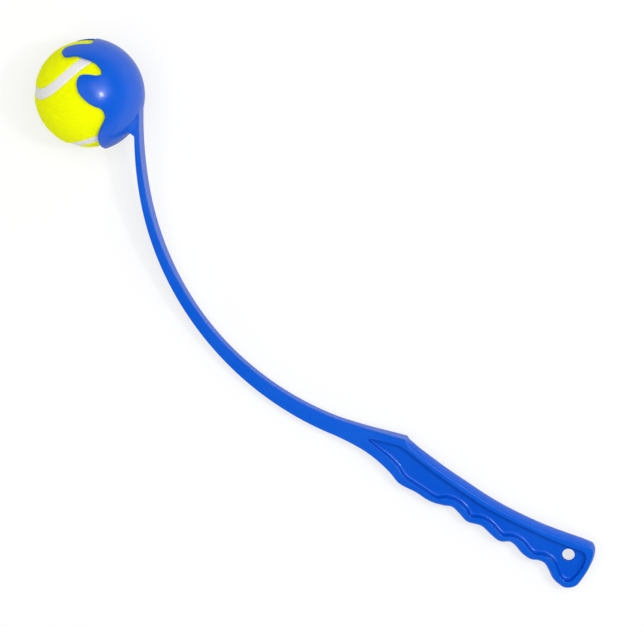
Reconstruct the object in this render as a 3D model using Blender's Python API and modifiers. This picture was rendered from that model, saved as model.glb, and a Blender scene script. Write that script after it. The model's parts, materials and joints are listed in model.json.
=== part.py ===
"""Dog ball thrower with its ball, lying on its side as it rests on a floor. Metres, +Z up.

One long plastic moulding holds a tennis ball in a cup at one end and has a finger grip at the
other. The moulding is drawn in a flat frame of its own: the ball's centre is the origin, X runs
towards the hang hole, Y is the hollow side of the bent arm, and Z is square to the mid-plane.
The whole part is then laid down on its three lowest points.
"""

import math

import bmesh
import bpy
from mathutils import Euler, Matrix, Vector

MM = 0.001

# Clearances
PIECE_GAP = 0.3 * MM
OVERRUN = 5.0 * MM
CUP_CLEARANCE = 0.5 * MM
MERGE_DISTANCE = 0.01 * MM

# Counts of sides, rings and steps, and the angles that shading keeps sharp
SPHERE_SEGMENTS = 48
SPHERE_RINGS = 26
HOLE_SEGMENTS = 32
CORE_STEPS = 7
CORE_SEGMENTS = 22
PANEL_ROWS = 30
PANEL_COLUMNS = 13
SEAM_STEPS = 80
ROUND_SHARP_ANGLE = math.radians(40.0)
EDGE_SHARP_ANGLE = math.radians(30.0)

# Tennis ball, measured over the felt
BALL_RADIUS = 33.1 * MM
FELT_THICKNESS = 3.2 * MM
CORE_WALL = 3.3 * MM
SEAM_WIDTH = 6.4 * MM
SEAM_RECESS = 0.5 * MM
SEAM_BEND_SHARE = 0.20
BALL_TURN = Euler((math.radians(148.3), math.radians(-44.3), math.radians(127.0)))

# Cup, whose wall is thickest at the palm and thinnest at the two fingers
CUP_WALL = 1.7 * MM
CUP_WALL_BIAS = 0.5 * MM
CUP_BIAS_ANGLE = math.radians(-45.0)
OPENING_ANGLE = math.radians(-112.0)
SLOT_WIDTH = 22.0 * MM
SLOT_END_SHARE = -0.535

# The rim seen from the side, in shares of the cup's outer radius:
# how far towards the opening, and how far from the palm towards the fingers
RIM_SHARES = (
    (0.03, 1.00), (-0.01, 0.92), (-0.03, 0.86), (-0.08, 0.79), (-0.165, 0.764), (-0.249, 0.74),
    (-0.312, 0.704), (-0.371, 0.652), (-0.441, 0.598), (-0.494, 0.545), (-0.545, 0.479),
    (-0.586, 0.391), (-0.602, 0.313), (-0.591, 0.273), (-0.559, 0.263), (-0.510, 0.280),
    (-0.445, 0.324), (-0.375, 0.367), (-0.281, 0.403), (-0.218, 0.391), (-0.168, 0.334),
    (-0.143, 0.274), (-0.127, 0.208), (-0.125, 0.135), (-0.146, 0.045), (-0.181, -0.043),
    (-0.227, -0.132), (-0.279, -0.205), (-0.326, -0.254), (-0.353, -0.312), (-0.352, -0.390),
    (-0.332, -0.453), (-0.279, -0.506), (-0.191, -0.576), (-0.099, -0.649), (-0.026, -0.720),
    (0.023, -0.790), (0.059, -0.874), (0.08, -0.953), (0.087, -0.996),
)

# Arm, a bent blade whose outer edge is one arc that straightens where it meets the cup
ARM_LEAVE_ANGLE = math.radians(34.94)
ARM_LIFT = 0.7 * MM
ARM_RADIUS = 191.5 * MM
ARM_SWEEP = math.radians(78.05)
ARM_TUCK = 1.8 * MM
ARM_TUCK_RUN = 54.0 * MM
ARM_ROOT_DEPTH = 2.8 * MM
ARM_END_DEPTH = 10.7 * MM
ARM_DEPTH_GROWTH = 1.05
ARM_ROOT_WIDTH = 14.8 * MM
ARM_END_WIDTH = 7.5 * MM
ARM_TAPER_SHARES = (0.10, 0.66)
ARM_CORNER = 0.7 * MM
ARM_STEPS = 44

# Gusset between the cup and the arm's outer edge, as wide as the arm there and wider on the cup
GUSSET_RUN = 22.4 * MM
GUSSET_HEAD_WIDTH = 17.0 * MM
GUSSET_FOOT_WIDTH = 26.0 * MM
GUSSET_HEAD_ANGLE = math.radians(31.0)
GUSSET_FOOT_ANGLE = math.radians(4.0)
GUSSET_SPREAD_ANGLE = math.radians(16.0)
GUSSET_SUNK = 1.0 * MM
GUSSET_STEPS = 8

# Handle
HANDLE_TURN = math.radians(-8.3)
HANDLE_LENGTH = 179.0 * MM
HANDLE_DEPTH = 19.5 * MM
HANDLE_THICKNESS = 13.0 * MM
NECK_LENGTH = 68.0 * MM
NECK_STEPS = 10
GRIP_LINE = 6.1 * MM
GRIP_DEPTH = 3.6 * MM
EDGE_ROUND = 2.0 * MM
NECK_ROUND_SHARE = 0.3
EDGE_STEPS = 2
RIM_WIDTH = 4.4 * MM
TIP_RIM_WIDTH = 6.0 * MM
TIP_REACH = 20.0 * MM
TIP_BLEND = 25.0 * MM
WEB_THICKNESS = 2.4 * MM
POCKET_FILLET = 1.2 * MM
HANG_HOLE_RADIUS = 3.9 * MM
HANG_HOLE_FROM_BUTT = 14.9 * MM
HANG_HOLE_ACROSS = 7.4 * MM
OUTLINE_STEP = 4.4 * MM
MOUNT_REACH = 12.0 * MM

# Handle outline, in shares of its length and depth
NECK_OUTER_SHARES = ((0.0, 0.0), (0.06, 0.04), (0.12, 0.045), (0.172, -0.01), (0.23, -0.14))
# Finger side, in shares of its length and of the grip's depth above the line of the crests
GRIP_SHARES = (
    (0.279, 0.0), (0.335, 0.16), (0.398, 0.0), (0.445, 0.55), (0.482, 1.13), (0.515, 0.78),
    (0.549, 0.12), (0.603, 0.80), (0.640, 0.42), (0.679, 0.0), (0.716, 0.84), (0.750, 0.66),
    (0.782, 0.10), (0.812, 0.02), (0.842, 0.62), (0.868, 0.58),
)
BUTT_SHARES = (
    (0.894, -0.38), (0.925, -0.55), (0.958, -0.585), (0.980, -0.48), (0.995, -0.33),
    (0.999, -0.06), (1.000, 0.32), (0.996, 0.71), (0.985, 0.97), (0.972, 1.09), (0.954, 1.06),
)
BACK_SHARES = (
    (0.915, 1.005), (0.852, 0.89), (0.788, 0.79), (0.717, 0.735), (0.642, 0.685), (0.568, 0.692),
    (0.488, 0.744), (0.398, 0.805), (0.348, 0.862), (0.265, 0.97), (0.219, 1.077),
)
NECK_INNER_SHARES = ((0.219, 1.077), (0.155, 0.93), (0.099, 0.775), (0.045, 0.66))

# Densities in kilograms for each cubic metre, which only place the centre of mass
PLASTIC_DENSITY = 950.0
RUBBER_DENSITY = 1100.0
FELT_DENSITY = 300.0

# How far the moulding's mid-plane may lean from the floor and still count as lying on its side
MOST_TILT = math.radians(40.0)

# Sizes that follow from the ones above
CORE_RADIUS = BALL_RADIUS - FELT_THICKNESS - PIECE_GAP
CUP_INNER_RADIUS = BALL_RADIUS + CUP_CLEARANCE
CUP_OUTER_RADIUS = CUP_INNER_RADIUS + CUP_WALL
HANG_HOLE_ALONG = HANDLE_LENGTH - HANG_HOLE_FROM_BUTT
CUP_CENTRE = CUP_WALL_BIAS * Vector((math.cos(CUP_BIAS_ANGLE), math.sin(CUP_BIAS_ANGLE), 0))
OPENING = Vector((math.cos(OPENING_ANGLE), math.sin(OPENING_ANGLE), 0))
TO_FINGERS = Vector((OPENING.y, -OPENING.x, 0))
ARM_CENTRE = (CUP_OUTER_RADIUS + ARM_LIFT + ARM_RADIUS - ARM_ROOT_DEPTH) * Vector(
    (math.cos(ARM_LEAVE_ANGLE), math.sin(ARM_LEAVE_ANGLE), 0)
)


# Scene helpers

def clear_scene():
    for obj in list(bpy.data.objects):
        bpy.data.objects.remove(obj)


def make_collection(name, hidden):
    collection = bpy.data.collections.new(name)
    bpy.context.scene.collection.children.link(collection)
    collection.hide_render = hidden
    return collection


def make_material(name, colour, roughness):
    material = bpy.data.materials.new(name)
    material.use_nodes = True
    shader = material.node_tree.nodes["Principled BSDF"]
    shader.inputs["Base Color"].default_value = (*colour, 1.0)
    shader.inputs["Roughness"].default_value = roughness
    shader.inputs["Metallic"].default_value = 0.0
    material.diffuse_color = (*colour, 1.0)
    return material


def add_object(name, data, collection, parent=None, material=None):
    obj = bpy.data.objects.new(name, data)
    collection.objects.link(obj)
    obj.parent = parent
    if material:
        data.materials.append(material)
    return obj


def add_mesh(name, bm, collection, parent=None, material=None):
    mesh = bpy.data.meshes.new(name)
    bm.to_mesh(mesh)
    bm.free()
    return add_object(name, mesh, collection, parent, material)


def make_cutter(obj):
    obj.hide_render = True
    obj.display_type = "WIRE"
    return obj


def add_boolean(obj, other, operation):
    modifier = obj.modifiers.new(operation.lower() + "_" + other.name, "BOOLEAN")
    modifier.operation = operation
    modifier.solver = "EXACT"
    modifier.object = other


def shade_smooth(obj, angle):
    obj.data.shade_smooth()
    obj.data.set_sharp_from_angle(angle=angle)


# Geometry helpers

def smoothstep(low, high, value):
    share = min(1.0, max(0.0, (value - low) / (high - low)))
    return share * share * (3.0 - 2.0 * share)


def smooth_run(points, step):
    """A centripetal Catmull-Rom curve through the points, sampled about every step."""
    ends = [2 * points[0] - points[1]] + list(points) + [2 * points[-1] - points[-2]]
    run = []
    for before, start, end, after in zip(ends, ends[1:], ends[2:], ends[3:]):
        spans = [math.sqrt((b - a).length) for a, b in ((before, start), (start, end), (end, after))]
        leave = (start - before) / spans[0] - (end - before) / (spans[0] + spans[1]) + (end - start) / spans[1]
        arrive = (end - start) / spans[1] - (after - start) / (spans[1] + spans[2]) + (after - end) / spans[2]
        count = max(1, math.ceil((end - start).length / step))
        for i in range(count):
            t = i / count
            run.append(
                (2 * t**3 - 3 * t**2 + 1) * start
                + (3 * t**2 - 2 * t**3) * end
                + (t**3 - 2 * t**2 + t) * spans[1] * leave
                + (t**3 - t**2) * spans[1] * arrive
            )
    return run + [points[-1]]


def flat_solid(name, outline, thickness, collection):
    """A closed outline in X and Y made a solid plate about the mid-plane, its flats one face each."""
    curve = bpy.data.curves.new(name, "CURVE")
    curve.dimensions = "2D"
    curve.fill_mode = "BOTH"
    curve.extrude = thickness / 2
    spline = curve.splines.new("POLY")
    spline.points.add(len(outline) - 1)
    for point, place in zip(spline.points, outline):
        point.co = (place.x, place.y, 0, 1)
    spline.use_cyclic_u = True
    source = add_object(name, curve, collection)
    bpy.context.view_layer.update()
    graph = bpy.context.evaluated_depsgraph_get()
    mesh = bpy.data.meshes.new_from_object(source.evaluated_get(graph))
    place = source.matrix_world.copy()
    bpy.data.objects.remove(source)
    bm = bmesh.new()
    bm.from_mesh(mesh)
    bmesh.ops.remove_doubles(bm, verts=bm.verts, dist=PIECE_GAP / 100)
    for side in (1, -1):
        flats = [face for face in bm.faces if face.normal.z * side > 0.9]
        bmesh.ops.dissolve_faces(bm, faces=flats)
    bmesh.ops.recalc_face_normals(bm, faces=bm.faces)
    bm.to_mesh(mesh)
    bm.free()
    solid = add_object(name, mesh, collection)
    solid.matrix_world = place
    return solid


def add_loft(bm, rings, closed_run=False):
    """Quads between rings of points, with the two end rings capped unless the run closes."""
    rows = [[bm.verts.new(point) for point in ring] for ring in rings]
    following = rows[1:] + (rows[:1] if closed_run else [])
    for row, after in zip(rows, following):
        for i in range(len(row)):
            j = (i + 1) % len(row)
            bm.faces.new((row[i], row[j], after[j], after[i]))
    if not closed_run:
        bm.faces.new(rows[0])
        bm.faces.new(rows[-1])
    bmesh.ops.recalc_face_normals(bm, faces=bm.faces)


def sphere(name, centre, radius, collection):
    bm = bmesh.new()
    bmesh.ops.create_uvsphere(bm, u_segments=SPHERE_SEGMENTS, v_segments=SPHERE_RINGS, radius=radius)
    bmesh.ops.translate(bm, verts=bm.verts, vec=centre)
    return add_mesh(name, bm, collection)


# Cup

def cup_side_view(along_share, across_share):
    """A point of the cup's side view, from shares of its outer radius."""
    return CUP_OUTER_RADIUS * (along_share * OPENING + across_share * TO_FINGERS)


def make_cup(parts, cutters, parent, material):
    cup = sphere("cup", CUP_CENTRE, CUP_OUTER_RADIUS, parts)
    cup.data.materials.append(material)
    cup.parent = parent
    hollow = make_cutter(sphere("cup_hollow", Vector(), CUP_INNER_RADIUS, cutters))

    reach = CUP_OUTER_RADIUS + OVERRUN
    rim = smooth_run([cup_side_view(*shares) for shares in RIM_SHARES], CUP_WALL)
    rim.append(rim[-1] - reach * TO_FINGERS)
    rim.append(rim[-1] + 2 * reach * OPENING)
    rim.append(rim[-1] + 4 * reach * TO_FINGERS)
    rim.append(rim[0] + reach * TO_FINGERS)
    mouth = make_cutter(flat_solid("cup_mouth", rim, 2 * reach, cutters))

    slot_outline = (
        SLOT_END_SHARE * CUP_OUTER_RADIUS * OPENING,
        SLOT_END_SHARE * CUP_OUTER_RADIUS * OPENING + 2 * reach * TO_FINGERS,
        reach * OPENING + 2 * reach * TO_FINGERS,
        reach * OPENING,
    )
    slot = make_cutter(flat_solid("finger_slot", slot_outline, SLOT_WIDTH, cutters))
    for cutter in (hollow, mouth, slot):
        cutter.parent = parent
        add_boolean(cup, cutter, "DIFFERENCE")
    shade_smooth(cup, ROUND_SHARP_ANGLE)
    return cup


# Arm

def arm_point(angle, radius):
    turned = ARM_LEAVE_ANGLE + math.pi + angle
    return ARM_CENTRE + radius * Vector((math.cos(turned), math.sin(turned), 0))


def arm_tuck(angle):
    """How far the arm leans in towards the cup near its root."""
    return ARM_TUCK * max(0.0, 1.0 - angle * ARM_RADIUS / ARM_TUCK_RUN) ** 2


def arm_section(share):
    """Eight corners of the arm's cross-section, a share of the way from the cup to the handle."""
    depth = ARM_ROOT_DEPTH + (ARM_END_DEPTH - ARM_ROOT_DEPTH) * share**ARM_DEPTH_GROWTH
    taper = smoothstep(*ARM_TAPER_SHARES, share)
    half = (ARM_ROOT_WIDTH + (ARM_END_WIDTH - ARM_ROOT_WIDTH) * taper) / 2
    corner = min(ARM_CORNER, depth / 4)
    angle = share * (ARM_SWEEP - PIECE_GAP / ARM_RADIUS)
    outer = ARM_RADIUS + arm_tuck(angle)
    inner = outer - depth
    corners = (
        (outer, half - corner), (outer - corner, half), (inner + corner, half), (inner, half - corner),
        (inner, corner - half), (inner + corner, -half), (outer - corner, -half), (outer, corner - half),
    )
    return [arm_point(angle, radius) + Vector((0, 0, height)) for radius, height in corners]


def gusset_section(share):
    """Four corners of the gusset, a share of the way from its head in the corner to its free edge."""
    angle = GUSSET_HEAD_ANGLE + share * (GUSSET_FOOT_ANGLE - GUSSET_HEAD_ANGLE)
    spread = smoothstep(0.0, GUSSET_SPREAD_ANGLE, GUSSET_HEAD_ANGLE - angle)
    foot_half = (GUSSET_HEAD_WIDTH + (GUSSET_FOOT_WIDTH - GUSSET_HEAD_WIDTH) * spread) / 2
    reach = math.sqrt(CUP_OUTER_RADIUS**2 - foot_half**2) - GUSSET_SUNK
    foot = CUP_CENTRE + reach * Vector((math.cos(angle), math.sin(angle), 0))
    on_arm = arm_point(share * GUSSET_RUN / ARM_RADIUS, ARM_RADIUS - GUSSET_SUNK)
    arm_half = ARM_ROOT_WIDTH / 2 - ARM_CORNER
    corners = ((on_arm, arm_half), (foot, foot_half), (foot, -foot_half), (on_arm, -arm_half))
    return [place + Vector((0, 0, height)) for place, height in corners]


def make_arm(parts, cutters, parent, material):
    bm = bmesh.new()
    add_loft(bm, [arm_section(i / ARM_STEPS) for i in range(ARM_STEPS + 1)])
    arm = add_mesh("arm", bm, parts, parent, material)

    bm = bmesh.new()
    add_loft(bm, [gusset_section(i / GUSSET_STEPS) for i in range(GUSSET_STEPS + 1)])
    gusset = make_cutter(add_mesh("gusset", bm, cutters))
    seat = make_cutter(sphere("arm_seat", CUP_CENTRE, CUP_OUTER_RADIUS + PIECE_GAP, cutters))
    for other in (gusset, seat):
        other.parent = parent
    add_boolean(arm, gusset, "UNION")
    add_boolean(arm, seat, "DIFFERENCE")
    shade_smooth(arm, EDGE_SHARP_ANGLE)
    return arm


# Handle

def handle_frame():
    """The handle's own axes: along it from the arm's outer edge, across it to its back."""
    heading = ARM_LEAVE_ANGLE + math.pi + ARM_SWEEP + math.pi / 2 + HANDLE_TURN
    turn = Matrix.Rotation(heading, 4, "Z")
    return Matrix.Translation(arm_point(ARM_SWEEP, ARM_RADIUS)) @ turn


def handle_outline():
    """The handle's outline in its own axes, from the arm round the fingers, the butt and the back."""
    frame = handle_frame()

    def place(along_share, across_share):
        return Vector((along_share * HANDLE_LENGTH, across_share * HANDLE_DEPTH, 0))

    inner_start = frame.inverted() @ arm_point(ARM_SWEEP, ARM_RADIUS - ARM_END_DEPTH)
    fingers = [
        Vector((along * HANDLE_LENGTH, depth * GRIP_DEPTH - GRIP_LINE, 0)) for along, depth in GRIP_SHARES
    ]
    outer = [place(*shares) for shares in NECK_OUTER_SHARES] + fingers
    outer += [place(*shares) for shares in BUTT_SHARES + BACK_SHARES]
    inner = [place(*shares) for shares in NECK_INNER_SHARES] + [inner_start]
    return smooth_run(outer, OUTLINE_STEP) + smooth_run(inner, OUTLINE_STEP)[1:]


def pocket_rim(along):
    """The rim is wider round the pocket's tip than along the grip."""
    share = smoothstep(TIP_REACH, TIP_REACH + TIP_BLEND, along)
    return TIP_RIM_WIDTH + (RIM_WIDTH - TIP_RIM_WIDTH) * share


def pocket_outline(outline):
    """The outline moved in by the rim, without the points that would come too near an edge."""
    inset = []
    for before, point, after in zip(outline[-1:] + outline[:-1], outline, outline[1:] + outline[:1]):
        heading = (after - before).normalized()
        inward = Vector((-heading.y, heading.x, 0))
        inset.append(point + inward * pocket_rim(point.x))

    def edge_distance(point):
        nearest = HANDLE_LENGTH
        for start, end in zip(outline, outline[1:] + outline[:1]):
            run = end - start
            share = min(1.0, max(0.0, (point - start).dot(run) / run.length_squared))
            nearest = min(nearest, (point - start - share * run).length)
        return nearest

    return [
        point for point in inset
        if point.x > TIP_REACH and edge_distance(point) > 0.97 * pocket_rim(point.x)
    ]


def thickness_at(along):
    share = smoothstep(0.0, NECK_LENGTH, along)
    return ARM_END_WIDTH + (HANDLE_THICKNESS - ARM_END_WIDTH) * share


def shape_neck(mesh):
    """Cuts the plate across at even steps along the neck and thins it there towards the arm."""
    bm = bmesh.new()
    bm.from_mesh(mesh)
    for i in range(1, NECK_STEPS + 1):
        geometry = bm.verts[:] + bm.edges[:] + bm.faces[:]
        place = Vector((NECK_LENGTH * i / NECK_STEPS, 0, 0))
        bmesh.ops.bisect_plane(bm, geom=geometry, plane_co=place, plane_no=(1, 0, 0))
    for vert in bm.verts:
        vert.co.z *= thickness_at(vert.co.x) / HANDLE_THICKNESS
    bm.to_mesh(mesh)
    bm.free()


def weigh_edges(mesh, weight_of):
    """Gives each edge that a bevel is to round its share of the bevel's width."""
    bm = bmesh.new()
    bm.from_mesh(mesh)
    layer = bm.edges.layers.float.new("bevel_weight_edge")
    for edge in bm.edges:
        edge[layer] = weight_of(edge)
    bm.to_mesh(mesh)
    bm.free()


def add_bevel(obj, width, segments):
    bevel = obj.modifiers.new("rounding", "BEVEL")
    bevel.limit_method = "WEIGHT"
    bevel.width = width
    bevel.segments = segments


def rounding_weight(edge):
    """Full rounding on the handle's own edges, easing to the arm's small corner along the neck."""
    normals = [face.normal for face in edge.link_faces]
    if max(abs(normal.z) for normal in normals) < 0.9 or min(abs(normal.z) for normal in normals) > 0.3:
        return 0.0
    along = sum((vert.co.x for vert in edge.verts), 0.0) / 2
    if min(vert.co.x for vert in edge.verts) < PIECE_GAP and edge.calc_length() > ARM_END_DEPTH / 2:
        return 0.0
    return NECK_ROUND_SHARE + (1.0 - NECK_ROUND_SHARE) * smoothstep(NECK_LENGTH / 2, NECK_LENGTH, along)


def make_handle(parts, cutters, parent, material):
    frame = handle_frame()
    outline = handle_outline()
    handle = flat_solid("handle", outline, HANDLE_THICKNESS, parts)
    handle.parent = parent
    handle.matrix_local = frame
    handle.data.materials.append(material)
    shape_neck(handle.data)
    weigh_edges(handle.data, rounding_weight)
    add_bevel(handle, EDGE_ROUND, EDGE_STEPS)

    pocket_depth = (HANDLE_THICKNESS - WEB_THICKNESS) / 2 + OVERRUN
    for side, name in ((1, "pocket_upper"), (-1, "pocket_lower")):
        pocket = make_cutter(flat_solid(name, pocket_outline(outline), pocket_depth, cutters))
        shift = side * (WEB_THICKNESS + pocket_depth) / 2
        pocket.data.transform(Matrix.Translation((0, 0, shift)))
        floor = side * WEB_THICKNESS / 2
        weigh_edges(
            pocket.data,
            lambda edge, floor=floor: float(
                all(abs(vert.co.z - floor) < PIECE_GAP for vert in edge.verts)
            ),
        )
        add_bevel(pocket, POCKET_FILLET, EDGE_STEPS)
        pocket.parent = parent
        pocket.matrix_local = frame
        add_boolean(handle, pocket, "DIFFERENCE")

    bm = bmesh.new()
    bmesh.ops.create_cone(
        bm,
        cap_ends=True,
        segments=HOLE_SEGMENTS,
        radius1=HANG_HOLE_RADIUS,
        radius2=HANG_HOLE_RADIUS,
        depth=HANDLE_THICKNESS,
    )
    hole = make_cutter(add_mesh("hang_hole", bm, cutters, parent))
    hole.matrix_local = frame @ Matrix.Translation((HANG_HOLE_ALONG, HANG_HOLE_ACROSS, 0))
    add_boolean(handle, hole, "DIFFERENCE")
    shade_smooth(handle, EDGE_SHARP_ANGLE)
    return handle


# Ball

def seam_point(angle):
    """The closed curve of a tennis ball's seam on a sphere of radius one."""
    low = SEAM_BEND_SHARE
    high = 1.0 - low
    return Vector(
        (
            high * math.cos(angle) + low * math.cos(3 * angle),
            high * math.sin(angle) - low * math.sin(3 * angle),
            2 * math.sqrt(low * high) * math.sin(2 * angle),
        )
    )


def seam_side(angle, offset):
    """A point of the ball's unit sphere, offset radians to the side of the seam curve."""
    here = seam_point(angle)
    step = math.radians(0.5)
    heading = (seam_point(angle + step) - seam_point(angle - step)).normalized()
    across = here.cross(heading).normalized()
    return here * math.cos(offset) + across * math.sin(offset)


def make_core_half(name, flipped, parts, parent, material):
    """A turned half shell whose flat rim stops short of the joint between the two halves."""
    gap = PIECE_GAP / 2
    down, up = range(CORE_STEPS + 1), range(CORE_STEPS, -1, -1)
    profile = []
    for radius, order in ((CORE_RADIUS, down), (CORE_RADIUS - CORE_WALL, up)):
        low = math.asin(gap / radius)
        for i in order:
            angle = math.pi / 2 + (low - math.pi / 2) * i / CORE_STEPS
            reach = 0.0 if i == 0 else radius * math.cos(angle)
            profile.append((reach, 0.0, radius * math.sin(angle)))
    mesh = bpy.data.meshes.new(name)
    mesh.from_pydata(profile, [(i, i + 1) for i in range(len(profile) - 1)], [])
    half = add_object(name, mesh, parts, parent, material)
    screw = half.modifiers.new("turned", "SCREW")
    screw.steps = CORE_SEGMENTS
    screw.render_steps = CORE_SEGMENTS
    screw.use_merge_vertices = True
    screw.merge_threshold = MERGE_DISTANCE
    half.rotation_euler = (math.pi if flipped else 0.0, 0.0, 0.0)
    return half


def make_felt_panel(name, flipped, parts, parent, material):
    """One dumb-bell shaped cover: rows across it run from seam to seam and meet at its two ends."""
    offset = (SEAM_WIDTH / 2 + PIECE_GAP) / BALL_RADIUS
    radii = (BALL_RADIUS, BALL_RADIUS - FELT_THICKNESS)
    bm = bmesh.new()
    grids = {radius: [] for radius in radii}
    for i in range(PANEL_ROWS + 1):
        angle = -math.pi / 4 + math.pi * i / PANEL_ROWS
        near = seam_side(angle, offset)
        far = seam_side(-math.pi / 2 - angle, offset)
        shares = [j / PANEL_COLUMNS for j in range(PANEL_COLUMNS + 1)]
        for radius in radii:
            if i in (0, PANEL_ROWS):
                row = [bm.verts.new(radius * near)] * (PANEL_COLUMNS + 1)
            else:
                row = [bm.verts.new(radius * near.slerp(far, share)) for share in shares]
            grids[radius].append(row)

    def add_face(corners):
        kept = [vert for i, vert in enumerate(corners) if vert not in corners[:i]]
        if len(kept) > 2:
            bm.faces.new(kept)

    outer, inner = (grids[radius] for radius in radii)
    for i in range(PANEL_ROWS):
        for j in range(PANEL_COLUMNS):
            for grid in (outer, inner):
                add_face((grid[i][j], grid[i + 1][j], grid[i + 1][j + 1], grid[i][j + 1]))
        for j in (0, PANEL_COLUMNS):
            add_face((outer[i][j], outer[i + 1][j], inner[i + 1][j], inner[i][j]))
    bmesh.ops.recalc_face_normals(bm, faces=bm.faces)
    panel = add_mesh(name, bm, parts, parent, material)
    panel.rotation_euler = (math.pi if flipped else 0.0, 0.0, 0.0)
    shade_smooth(panel, ROUND_SHARP_ANGLE)
    return panel


def make_seam(parts, parent, material):
    half = SEAM_WIDTH / 2 / BALL_RADIUS
    top, bottom = BALL_RADIUS - SEAM_RECESS, BALL_RADIUS - FELT_THICKNESS
    rings = []
    for i in range(SEAM_STEPS):
        angle = -math.pi / 4 + 2 * math.pi * i / SEAM_STEPS
        left, right = seam_side(angle, half), seam_side(angle, -half)
        rings.append([top * left, top * right, bottom * right, bottom * left])
    bm = bmesh.new()
    add_loft(bm, rings, closed_run=True)
    seam = add_mesh("ball_seam", bm, parts, parent, material)
    shade_smooth(seam, ROUND_SHARP_ANGLE)
    return seam


# Laying the part down

def world_vertices(objects):
    bpy.context.view_layer.update()
    graph = bpy.context.evaluated_depsgraph_get()
    vertices = []
    for obj in objects:
        evaluated = obj.evaluated_get(graph)
        mesh = evaluated.to_mesh()
        vertices += [evaluated.matrix_world @ vert.co for vert in mesh.vertices]
        evaluated.to_mesh_clear()
    return vertices


def centre_of_mass(densities):
    """Centre of mass of closed solids, from the tetrahedra between their faces and the origin."""
    graph = bpy.context.evaluated_depsgraph_get()
    mass = 0.0
    moment = Vector()
    for obj, density in densities.items():
        evaluated = obj.evaluated_get(graph)
        mesh = evaluated.to_mesh()
        mesh.calc_loop_triangles()
        places = [evaluated.matrix_world @ vert.co for vert in mesh.vertices]
        for triangle in mesh.loop_triangles:
            a, b, c = (places[i] for i in triangle.vertices)
            share = density * a.dot(b.cross(c)) / 6
            mass += share
            moment += share * (a + b + c) / 4
        evaluated.to_mesh_clear()
    return moment / mass


def resting_normal(vertices, centre):
    """The outward normal of the hull's lower facet that the centre of mass stands over."""
    bm = bmesh.new()
    for place in vertices:
        bm.verts.new(place)
    hull = bmesh.ops.convex_hull(bm, input=bm.verts)
    normal = None
    for face in (item for item in hull["geom"] if isinstance(item, bmesh.types.BMFace)):
        corners = [vert.co for vert in face.verts]
        outward = face.normal if face.normal.dot(corners[0] - centre) > 0 else -face.normal
        foot = centre + outward.dot(corners[0] - centre) * outward
        turns = [
            outward.dot((end - start).cross(foot - start))
            for start, end in zip(corners, corners[1:] + corners[:1])
        ]
        inside = min(turns) >= 0 or max(turns) <= 0
        if outward.z < -math.cos(MOST_TILT) and inside:
            normal = outward.copy()
    bm.free()
    return normal


def lay_down(frame_empty, densities):
    """Turns the part onto its resting facet and puts the middle of its footprint at the origin."""
    objects = list(densities)
    vertices = world_vertices(objects)
    up = -resting_normal(vertices, centre_of_mass(densities))
    along = (Vector((1, 0, 0)) - up.x * up).normalized()
    across = up.cross(along)
    turn = Matrix((along, across, up))
    turned = [turn @ place for place in vertices]
    low = Vector([min(place[i] for place in turned) for i in range(3)])
    high = Vector([max(place[i] for place in turned) for i in range(3)])
    shift = Vector((-(low.x + high.x) / 2, -(low.y + high.y) / 2, -low.z))
    frame_empty.matrix_world = Matrix.Translation(shift) @ turn.to_4x4()
    bpy.context.view_layer.update()
    return low + shift, high + shift


def say(name, vector):
    print(name, [round(value, 6) for value in vector])


def main():
    clear_scene()
    parts = make_collection("dog_ball_thrower", False)
    cutters = make_collection("cutters", True)
    plastic = make_material("blue_plastic", (0.0, 0.105, 0.70), 0.28)
    felt = make_material("yellow_felt", (0.72, 0.93, 0.0), 0.95)
    rubber = make_material("black_rubber", (0.03, 0.03, 0.03), 0.7)
    seam_rubber = make_material("white_seam_rubber", (0.80, 0.80, 0.82), 0.6)

    laid = add_object("launcher_frame", None, parts)
    ball = add_object("ball_slide", None, parts, laid)
    ball.rotation_euler = BALL_TURN

    densities = {
        make_cup(parts, cutters, laid, plastic): PLASTIC_DENSITY,
        make_arm(parts, cutters, laid, plastic): PLASTIC_DENSITY,
        make_handle(parts, cutters, laid, plastic): PLASTIC_DENSITY,
        make_core_half("ball_core_half_a", False, parts, ball, rubber): RUBBER_DENSITY,
        make_core_half("ball_core_half_b", True, parts, ball, rubber): RUBBER_DENSITY,
        make_felt_panel("ball_felt_panel_a", False, parts, ball, felt): FELT_DENSITY,
        make_felt_panel("ball_felt_panel_b", True, parts, ball, felt): FELT_DENSITY,
        make_seam(parts, ball, seam_rubber): RUBBER_DENSITY,
    }
    low, high = lay_down(laid, densities)

    frame = laid.matrix_world
    handle_place = frame @ handle_frame()
    hole = Vector((HANG_HOLE_ALONG, HANG_HOLE_ACROSS, 0))
    web = Vector((HANG_HOLE_ALONG - MOUNT_REACH, HANG_HOLE_ACROSS, WEB_THICKNESS / 2))
    say("hang hole in the drawing frame", handle_frame() @ hole)
    say("low", low)
    say("high", high)
    say("ball centre", frame.translation)
    say("opening axis", frame.to_3x3() @ OPENING)
    say("moulding X axis", frame.col[0].xyz)
    say("moulding Z axis", frame.col[2].xyz)
    say("hang hole centre", handle_place @ hole)
    say("web face", handle_place @ web)
    print("tilt in degrees", round(math.degrees(math.acos(frame.col[2].z)), 2))


main()
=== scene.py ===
# %% [markdown]
# # A dog ball thrower and its ball
# The real thing is one long injection moulding in glossy blue plastic with a tennis ball held in
# its cup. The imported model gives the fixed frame: where each region lies and what moves. This
# notebook loads that frame first, because everything that is made here has to sit in it.

# %% Load the frame
import math

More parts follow.
